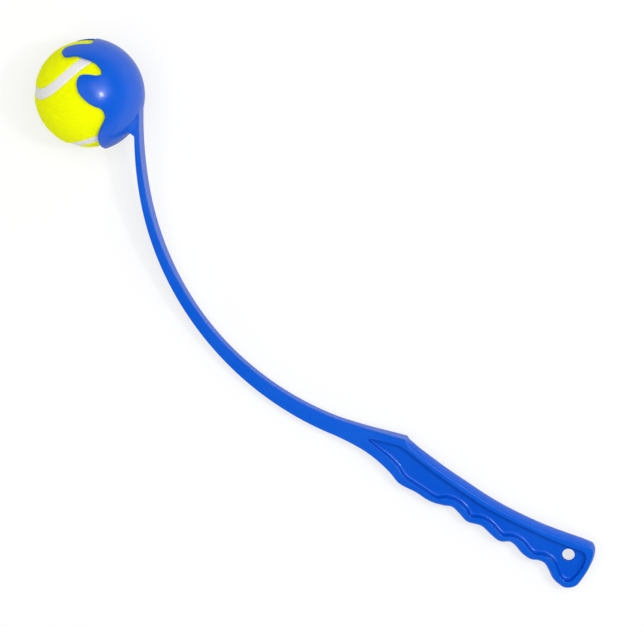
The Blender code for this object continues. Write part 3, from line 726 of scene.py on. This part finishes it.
# %% Cut the two pockets and the hang hole
WEB_THICKNESS = 2.4 * MM
POCKET_FILLET = 1.5 * MM
FILLET_SEGMENTS = 5
NARROW_TIP = (22 * MM, 34 * MM)
TIP_FILLET = 0.35
WALL_LEAN = math.tan(math.radians(3.0))
HANG_HOLE_RADIUS = 3.9 * MM
HANG_HOLE_SIDES = 64
OVERRUN = 2.0 * MM
POCKET = (
    (19.6, 8.4), (23.5, 7.6), (29.7, 6.5), (35.1, 5.7), (40.2, 4.4), (45.1, 2.6), (50.7, -0.4),
    (57.1, -1.0), (65.1, -1.5), (75.2, -1.6), (78.4, 1.0), (83.0, 2.7), (88.6, 2.8), (94.0, 1.5),
    (99.2, -1.2), (103.0, 0.8), (107.7, 1.7), (113.0, 1.2), (118.5, -0.8), (122.4, -1.6),
    (127.0, 0.9), (132.0, 1.7), (137.0, 0.7), (142.2, -1.4), (145.6, -1.9), (149.4, 0.4),
    (153.7, 1.0), (158.6, -0.1), (163.0, -3.4), (167.2, -6.4), (170.8, -7.2), (173.4, -5.4),
    (174.6, -1.2), (175.2, 5.4), (174.6, 10.6), (172.8, 14.3), (170.0, 15.2), (165.4, 14.3),
    (155.2, 12.6), (141.5, 11.0), (128.4, 9.9), (115, 9.0), (101.7, 8.8), (91, 9.6), (82.7, 10.2),
    (74, 11.0), (65.2, 12.0), (55.9, 13.2), (47.2, 14.6), (41.5, 15.2), (36.3, 14.8), (30.2, 12.8),
    (24.1, 10.8), (20.4, 9.8),
)


def to_handle(piece):
    """Moves a mesh from the handle's own axes into the drawing."""
    piece.data.transform(HANDLE_PLACE)
    piece.data.update()


def bevel_where(piece, wanted, width, segments):
    """Rounds the edges that wanted() picks, by its choice of weight for each."""
    mesh = bmesh.new()
    mesh.from_mesh(piece.data)
    layers = mesh.edges.layers.float
    weight = layers.get("bevel_weight_edge") or layers.new("bevel_weight_edge")
    count = 0
    for edge in mesh.edges:
        edge[weight] = wanted(edge)
        count += edge[weight] > 0
    mesh.to_mesh(piece.data)
    mesh.free()
    bevel = piece.modifiers.new("rounding", "BEVEL")
    bevel.limit_method = "WEIGHT"
    bevel.width = width
    bevel.segments = segments
    bevel.use_clamp_overlap = False
    apply_modifiers(piece)
    return count


def combine(piece, other, operation):
    """Joins a second solid to a piece or cuts it away, and removes the second one."""
    modifier = piece.modifiers.new(operation.lower(), "BOOLEAN")
    modifier.operation = operation
    modifier.solver = "EXACT"
    modifier.object = other
    apply_modifiers(piece)
    bpy.data.objects.remove(other)


pocket_points = [MM * Vector((along, across, 0)) for along, across in POCKET]
pocket_run = smooth_run(pocket_points, OUTLINE_STEP, closed=True)
wall_height = HANDLE_THICKNESS / 2 + OVERRUN - WEB_THICKNESS / 2
pocket = filled_outline("pocket", pocket_run)
bpy.ops.object.mode_set(mode="EDIT")
bpy.ops.mesh.select_all(action="SELECT")
bpy.ops.mesh.extrude_region_move(TRANSFORM_OT_translate={"value": (0, 0, wall_height)})
bpy.ops.object.mode_set(mode="OBJECT")
run_tree = lookup(pocket_run)
for vert in pocket.data.vertices:
    if vert.co.z > wall_height / 2:
        index = run_tree.find((vert.co.x, vert.co.y, 0))[1]
        heading = (pocket_run[(index + 1) % len(pocket_run)] - pocket_run[index - 1]).normalized()
        vert.co += wall_height * WALL_LEAN * Vector((heading.y, -heading.x, 0))
outward_normals(pocket)


def fillet_share(edge):
    """The floor's edge gets the whole fillet, and less in the narrow tip."""
    if max(v.co.z for v in edge.verts) > wall_height / 2:
        return 0.0
    return TIP_FILLET + (1 - TIP_FILLET) * smoothstep(*NARROW_TIP, edge.verts[0].co.x)


bevel_where(pocket, fillet_share, POCKET_FILLET, FILLET_SEGMENTS)
pocket.data.transform(Matrix.Translation((0, 0, WEB_THICKNESS / 2)))
other_pocket = pocket.copy()
other_pocket.data = pocket.data.copy()
bpy.context.scene.collection.objects.link(other_pocket)
other_pocket.data.transform(Matrix.Diagonal((1, 1, -1, 1)))
outward_normals(other_pocket)
for cutter in (pocket, other_pocket):
    to_handle(cutter)
    combine(blade, cutter, "DIFFERENCE")

bpy.ops.mesh.primitive_cylinder_add(
    vertices=HANG_HOLE_SIDES, radius=HANG_HOLE_RADIUS, depth=HANDLE_THICKNESS, location=HANG_HOLE_AT,
)
combine(blade, start_piece("hang_hole"), "DIFFERENCE")
print("with its pockets the blade has", len(blade.data.polygons), "faces")

# %% [markdown]
# A mould has no perfectly sharp corner, and the thin bright line that a real edge shows comes from
# its small radius. The rims of the pockets and of the hang hole are picked by their place and by
# the faces beside them: one lies flat, the other stands.

# %% Round the rims of the pockets and the hole
EDGE_RADIUS = 0.35 * MM
RIM_REACH = 0.6 * MM
LIES_FLAT, STANDS = 0.97, 0.85


def flat_meets_wall(edge):
    if len(edge.link_faces) != 2:
        return False
    leans = sorted(abs(face.normal.z) for face in edge.link_faces)
    return leans[1] > LIES_FLAT and leans[0] < STANDS


def is_rim(edge):
    local = HANDLE_PLACE.inverted() @ edge.verts[0].co
    on_hole = (edge.verts[0].co - HANG_HOLE_AT).xy.length < HANG_HOLE_RADIUS + RIM_REACH
    on_pocket = run_tree.find((local.x, local.y, 0))[2] < RIM_REACH and abs(local.z) > WEB_THICKNESS
    return float(flat_meets_wall(edge) and (on_hole or on_pocket))


print("rounded", bevel_where(blade, is_rim, EDGE_RADIUS, ROUND_SEGMENTS), "edges")

# %% [markdown]
# A gusset carries the load from the cup into the thin root of the arm. It is as wide as the arm
# where the two meet and spreads over the cup, and its free edge is a hollow curve. It starts as a
# grid extruded to a block, whose points are then put between the arm and the cup.

# %% Gusset
GUSSET_RUN = 22.4 * MM
GUSSET_HEAD_WIDTH = 17.0 * MM
GUSSET_FOOT_WIDTH = 26.0 * MM
GUSSET_ARM_WIDTH = 13.4 * MM
GUSSET_HEAD_ANGLE = math.radians(31.0)
GUSSET_FOOT_ANGLE = math.radians(4.0)
GUSSET_SPREAD_ANGLE = math.radians(16.0)
GUSSET_HOLLOW = 0.06
GUSSET_SUNK = 1.0 * MM
GUSSET_ROWS, GUSSET_COLUMNS = 24, 14
ON_FREE_EDGE = 0.999


def in_gusset(along, across, side):
    """A point from the gusset's head to its free edge, and from the arm to the cup."""
    along *= 1 - GUSSET_HOLLOW * 4 * across * (1 - across)
    angle = GUSSET_HEAD_ANGLE + along * (GUSSET_FOOT_ANGLE - GUSSET_HEAD_ANGLE)
    spread = smoothstep(0, GUSSET_SPREAD_ANGLE, GUSSET_HEAD_ANGLE - angle)
    foot_half = (GUSSET_HEAD_WIDTH + (GUSSET_FOOT_WIDTH - GUSSET_HEAD_WIDTH) * spread) / 2
    reach = math.sqrt(CUP_OUTER_RADIUS**2 - foot_half**2) - GUSSET_SUNK
    foot = CUP_CENTRE + reach * Vector((math.cos(angle), math.sin(angle), 0))
    on_arm = arm_point(along * GUSSET_RUN / ARM_RADIUS, ARM_RADIUS - GUSSET_SUNK)
    half = GUSSET_ARM_WIDTH / 2 * (1 - across) + foot_half * across
    return on_arm.lerp(foot, across) + Vector((0, 0, side * half))


bpy.ops.mesh.primitive_grid_add(x_subdivisions=GUSSET_COLUMNS, y_subdivisions=GUSSET_ROWS, size=2.0)
gusset = start_piece("gusset")
bpy.ops.object.mode_set(mode="EDIT")
bpy.ops.mesh.select_all(action="SELECT")
bpy.ops.mesh.extrude_region_move(TRANSFORM_OT_translate={"value": (0, 0, 2.0)})
bpy.ops.mesh.select_all(action="SELECT")
bpy.ops.transform.translate(value=(0, 0, -1.0))
bpy.ops.object.mode_set(mode="OBJECT")
free_rim = {
    edge.index for edge in gusset.data.edges
    if all(gusset.data.vertices[i].co.y > ON_FREE_EDGE for i in edge.vertices)
    and len({round(gusset.data.vertices[i].co.z) for i in edge.vertices}) == 1
}
for vert in gusset.data.vertices:
    vert.co = in_gusset((vert.co.y + 1) / 2, (vert.co.x + 1) / 2, round(vert.co.z))
outward_normals(gusset)
bevel_where(gusset, lambda edge: float(edge.index in free_rim), EDGE_RADIUS, ROUND_SEGMENTS)
print("the gusset has", len(gusset.data.polygons), "faces")

# %% [markdown]
# The real thrower is one moulding, so blade, gusset and cup become one solid. Blade and gusset are
# first cut off by a sphere that lies inside the wall of the cup, so that nothing shows in its
# hollow. Normals weighted by area then keep the large faces even beside the small roundings.

# %% Join the moulding to one solid
INSIDE_SEGMENTS, INSIDE_RINGS = 96, 48
MOULDING_WELD = 0.005 * MM

combine(blade, gusset, "UNION")
bpy.ops.mesh.primitive_uv_sphere_add(
    segments=INSIDE_SEGMENTS, ring_count=INSIDE_RINGS, radius=middle_of_wall, location=CUP_CENTRE,
)
combine(blade, start_piece("inside_of_cup"), "DIFFERENCE")
combine(blade, cup, "UNION")
merge_points(blade, MOULDING_WELD)
print("the moulding has", len(blade.data.polygons), "faces")

# %% Finish the moulding
SHARP_ANGLE = 32
LARGE_FACE_WEIGHT = 60

smooth_by_angle(blade, SHARP_ANGLE)
even = blade.modifiers.new("even_normals", "WEIGHTED_NORMAL")
even.keep_sharp = True
even.weight = LARGE_FACE_WEIGHT
apply_modifiers(blade)
place_in_frame(blade)
blade.data.materials.append(blue_plastic)
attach(blade, "launcher")
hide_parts("cup", "arm", "handle")
print("moulding from", [round(min(v.co[i] for v in blade.data.vertices) / MM, 1) for i in range(3)])

# %% [markdown]
# A tennis ball's cover is two dumb-bell shaped pieces of felt, and the seam between them is one
# closed curve with four bends. Each panel is a grid whose rows run from seam to seam, so its edge
# follows the curve exactly, and its felt is raised by noise at the size of real tufts.

# %% The seam's curve
BALL_RADIUS = 33.1 * MM
SEAM_WIDTH = 6.4 * MM
SEAM_RECESS = 0.5 * MM
PANEL_GAP = 0.3 * MM
BALL_WELD = 0.02 * MM
BALL_TURN = Euler((math.radians(148.3), math.radians(-44.3), math.radians(127.0))).to_matrix().to_4x4()
BEND = 0.20
ANGLE_STEP = 0.01


def seam_point(angle):
    """The closed curve of a tennis ball's seam on a sphere of radius one."""
    return Vector((
        (1 - BEND) * math.cos(angle) + BEND * math.cos(3 * angle),
        (1 - BEND) * math.sin(angle) - BEND * math.sin(3 * angle),
        2 * math.sqrt(BEND * (1 - BEND)) * math.sin(2 * angle),
    ))


def seam_side(angle, offset):
    """A point of the ball's unit sphere, offset radians to the side of the seam curve."""
    here = seam_point(angle)
    heading = (seam_point(angle + ANGLE_STEP) - seam_point(angle - ANGLE_STEP)).normalized()
    return here * math.cos(offset) + here.cross(heading).normalized() * math.sin(offset)


print("the seam rises to", round(BALL_RADIUS * seam_point(math.pi / 4).z / MM, 1), "mm")

# %% [markdown]
# The nap is not level: tufts stand up, the ball is a little uneven under it, and at the seam it
# rolls over. Noise in three sizes raises each point by that, and the sheet gets its thickness
# afterwards, inwards, so that the raised side stays as it was made.

# %% The felt panels
PANEL_ROWS, PANEL_COLUMNS = 230, 120
SHEET_THICKNESS = 1.8 * MM
TUFT_HEIGHT, TUFT_GRAIN = 0.16 * MM, 0.8 * MM
UNDULATION, UNDULATION_SIZE = 0.18 * MM, 7.0 * MM
UNDULATION_LEVEL = 0.7
EDGE_ROLL, EDGE_DROP = 1.0 * MM, 0.8 * MM
EDGE_POINTS = 1440
FELT_SMOOTH_ANGLE = 70


def felt_height(direction, from_edge):
    """How far the nap stands from the ball's radius: it rolls over at the seam."""
    tufts = noise.fractal(direction * BALL_RADIUS / TUFT_GRAIN, 1.0, 2.1, 3)
    swell = noise.noise(direction * BALL_RADIUS / UNDULATION_SIZE)
    roll = max(0.0, 1 - from_edge / EDGE_ROLL)
    return TUFT_HEIGHT * tufts + UNDULATION * (swell - UNDULATION_LEVEL) - EDGE_DROP * roll**2


def make_felt_panel(name, flipped):
    offset = (SEAM_WIDTH / 2 + PANEL_GAP) / BALL_RADIUS
    bpy.ops.mesh.primitive_grid_add(x_subdivisions=PANEL_COLUMNS, y_subdivisions=PANEL_ROWS, size=1.0)
    panel = start_piece(name)
    for vert in panel.data.vertices:
        row, column = divmod(vert.index, PANEL_COLUMNS + 1)
        angle = -math.pi / 4 + math.pi * row / PANEL_ROWS
        near, far = seam_side(angle, offset), seam_side(-math.pi / 2 - angle, offset)
        share = column / PANEL_COLUMNS
        direction = near.slerp(far, share) if 0 < row < PANEL_ROWS else near
        vert.co = direction * BALL_RADIUS
    merge_points(panel, BALL_WELD)
    outward_normals(panel)
    edge_tree = lookup([
        BALL_RADIUS * seam_side(2 * math.pi * i / EDGE_POINTS, offset) for i in range(EDGE_POINTS)
    ])
    for vert in panel.data.vertices:
        direction = vert.co.normalized()
        vert.co += direction * felt_height(direction, edge_tree.find(vert.co)[2])
    body = panel.modifiers.new("felt_body", "SOLIDIFY")
    body.thickness = SHEET_THICKNESS
    body.offset = -1.0
    apply_modifiers(panel)
    smooth_by_angle(panel, FELT_SMOOTH_ANGLE)
    turn = Matrix.Rotation(math.pi if flipped else 0.0, 4, "X")
    place_in_frame(panel, BALL_TURN @ turn)
    panel.data.materials.append(yellow_felt)
    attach(panel, "ball")
    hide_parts("ball_felt_panel_" + name[-1])
    print(name, "has", len(panel.data.polygons), "faces")


make_felt_panel("felt_panel_a", False)
make_felt_panel("felt_panel_b", True)

# %% [markdown]
# The seam is a band of rubber that wells up between the panels. It lies a little below the felt,
# and its face is slightly hollow, because the rubber shrinks as it cures.

# %% The seam
SEAM_STEPS = 480
SEAM_COLUMNS = 12
SEAM_HOLLOW = 0.15 * MM
SEAM_OVERLAP = 0.5 * MM
SEAM_EDGE_DROP = 0.5 * MM
SEAM_THICKNESS = 1.6 * MM
GRAIN_HEIGHT, GRAIN_SIZE = 0.04 * MM, 1.5 * MM
SEAM_SMOOTH_ANGLE = 50

bpy.ops.mesh.primitive_grid_add(x_subdivisions=SEAM_COLUMNS, y_subdivisions=SEAM_STEPS, size=1.0)
seam = start_piece("seam_rubber_band")
for vert in seam.data.vertices:
    row, column = divmod(vert.index, SEAM_COLUMNS + 1)
    across = 2 * column / SEAM_COLUMNS - 1
    offset = across * (SEAM_WIDTH / 2 + SEAM_OVERLAP) / BALL_RADIUS
    direction = seam_side(2 * math.pi * row / SEAM_STEPS, offset)
    hollow = SEAM_HOLLOW * (1 - across**2) + SEAM_EDGE_DROP * across**8
    grain = GRAIN_HEIGHT * noise.noise(direction * BALL_RADIUS / GRAIN_SIZE)
    vert.co = direction * (BALL_RADIUS - SEAM_RECESS - hollow + grain)
merge_points(seam, BALL_WELD)
outward_normals(seam)
band = seam.modifiers.new("band", "SOLIDIFY")
band.thickness = SEAM_THICKNESS
band.offset = -1.0
apply_modifiers(seam)
smooth_by_angle(seam, SEAM_SMOOTH_ANGLE)
place_in_frame(seam, BALL_TURN)
seam.data.materials.append(seam_rubber)
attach(seam, "ball")
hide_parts("ball_seam")
print("the seam has", len(seam.data.polygons), "faces")

# %% [markdown]
# The studio is a plain white floor under a soft light. Most of what the camera sees of the floor
# is plain white, so that the background is as white as the photograph's without more light on the
# plastic, and the rest takes the light and keeps the object's shadow. A gloss sees the floor a
# little greyer, as a large floor away from the lamps would be.

# %% Floor
FLOOR_SIZE = 6.0
FLOOR_GAP = 0.05 * MM
SHADOW_SHARE = 0.35
FLOOR_PAINT, FLOOR_IN_GLOSS = "#f2f2f2", "#c6c6c6"

bpy.ops.mesh.primitive_plane_add(size=FLOOR_SIZE, location=(0, 0, -FLOOR_GAP))
floor = start_piece("studio_floor")
floor_white, tree, shader = new_material("matt_white_floor")
shader.inputs["Roughness"].default_value = 0.9
shader.inputs["Specular IOR Level"].default_value = 0.0
rays = add_node(tree, "ShaderNodeLightPath")
paint = add_node(tree, "ShaderNodeMix", {"data_type": "RGBA"}, {"Factor": rays.outputs["Is Glossy Ray"]})
paint.inputs[6].default_value = linear(FLOOR_PAINT)
paint.inputs[7].default_value = linear(FLOOR_IN_GLOSS)
tree.links.new(paint.outputs[2], shader.inputs["Base Color"])
share = add_node(tree, "ShaderNodeMath", {"operation": "MULTIPLY"})
tree.links.new(rays.outputs["Is Camera Ray"], share.inputs[0])
share.inputs[1].default_value = 1 - SHADOW_SHARE
plain_white = add_node(tree, "ShaderNodeEmission")
plain_white.inputs["Color"].default_value = (1, 1, 1, 1)
mixed = add_node(tree, "ShaderNodeMixShader")
tree.links.new(share.outputs[0], mixed.inputs[0])
tree.links.new(shader.outputs[0], mixed.inputs[1])
tree.links.new(plain_white.outputs[0], mixed.inputs[2])
tree.links.new(mixed.outputs[0], tree.nodes["Material Output"].inputs["Surface"])
floor.data.materials.append(floor_white)
print("the floor is", FLOOR_SIZE, "m wide")

# %% [markdown]
# The world is the room round the table. To the camera it is plain white. As soft fill it is bright
# near the horizon, like the pale walls and screens of a small studio, and dim overhead, where only
# the lamps shine. Its ceiling is dark to a gloss, which keeps the blue deep: a gloss that mirrored
# a white ceiling would lay a pale veil over the whole cup.

# %% World
FILL_LOW, FILL_HIGH = 1.0, 0.10
FILL_FADES = (0.15, 0.75)
GLOSS_LOW, GLOSS_HIGH = 0.6, 0.02
GLOSS_FADES = (-0.05, 0.20)

world = bpy.data.worlds.new("studio_world")
bpy.context.scene.world = world
world.use_nodes = True
tree = world.node_tree
background = tree.nodes["Background"]
rays = add_node(tree, "ShaderNodeLightPath")
direction = add_node(tree, "ShaderNodeTexCoord").outputs["Generated"]
height = add_node(tree, "ShaderNodeSeparateXYZ", links={"Vector": direction})
ceiling = add_node(
    tree, "ShaderNodeMapRange", {"interpolation_type": "SMOOTHSTEP"}, {"Value": height.outputs["Z"]},
    From_Min=FILL_FADES[0], From_Max=FILL_FADES[1], To_Min=FILL_LOW, To_Max=FILL_HIGH,
)
dark_room = add_node(
    tree, "ShaderNodeMapRange", {"interpolation_type": "SMOOTHSTEP"}, {"Value": height.outputs["Z"]},
    From_Min=GLOSS_FADES[0], From_Max=GLOSS_FADES[1], To_Min=GLOSS_LOW, To_Max=GLOSS_HIGH,
)
room = add_node(tree, "ShaderNodeMix", links={"Factor": rays.outputs["Is Glossy Ray"]})
tree.links.new(ceiling.outputs["Result"], room.inputs[2])
tree.links.new(dark_room.outputs["Result"], room.inputs[3])
strength = add_node(tree, "ShaderNodeMath", {"operation": "MAXIMUM"})
tree.links.new(room.outputs[0], strength.inputs[0])
tree.links.new(rays.outputs["Is Camera Ray"], strength.inputs[1])
tree.links.new(strength.outputs[0], background.inputs["Strength"])
background.inputs["Color"].default_value = (1, 1, 1, 1)
print("made", world.name)

# %% [markdown]
# One large softbox gives the even light of the photograph, and is kept out of the gloss. The one
# bright spot on the cup is a small bare lamp, and the soft glow round it fades in two steps, which
# a lamp behind a diffuser gives: two wider, weaker lamps stand for it.

# %% Lamps
LAMPS = (
    # Its name, then right and up in the picture per metre of height, its distance and its size in
    # metres, its power in watts, and whether a gloss shows it
    ("overhead_softbox", -0.05, 0.0, 1.9, 1.6, 25.0, False),
    ("bare_lamp", 0.50, 0.03, 1.6, 0.10, 4.2, True),
    ("inner_halo", 0.50, 0.12, 1.62, 0.6, 2.4, True),
    ("outer_halo", 0.53, 0.26, 1.65, 1.1, 3.2, True),
)


def add_lamp(name, from_right, from_top, distance, size, power, in_gloss):
    """A square lamp that faces the middle of the part, placed by the photograph's own axes."""
    light = bpy.data.lights.new(name, "AREA")
    light.shape = "SQUARE"
    light.size = size
    light.energy = power
    lamp = bpy.data.objects.new(name, light)
    bpy.context.scene.collection.objects.link(lamp)
    towards = (from_right * image_right + from_top * image_up + Vector((0, 0, 1))).normalized()
    lamp.location = distance * towards
    lamp.rotation_euler = towards.to_track_quat("Z", "Y").to_euler()
    lamp.visible_glossy = in_gloss


for lamp_settings in LAMPS:
    add_lamp(*lamp_settings)
bpy.context.scene.view_settings.view_transform = "Standard"
print("lit by", len(LAMPS), "lamps")

# %% [markdown]
# The last cell only imports json; the script ends there.

# %% Finish
import json
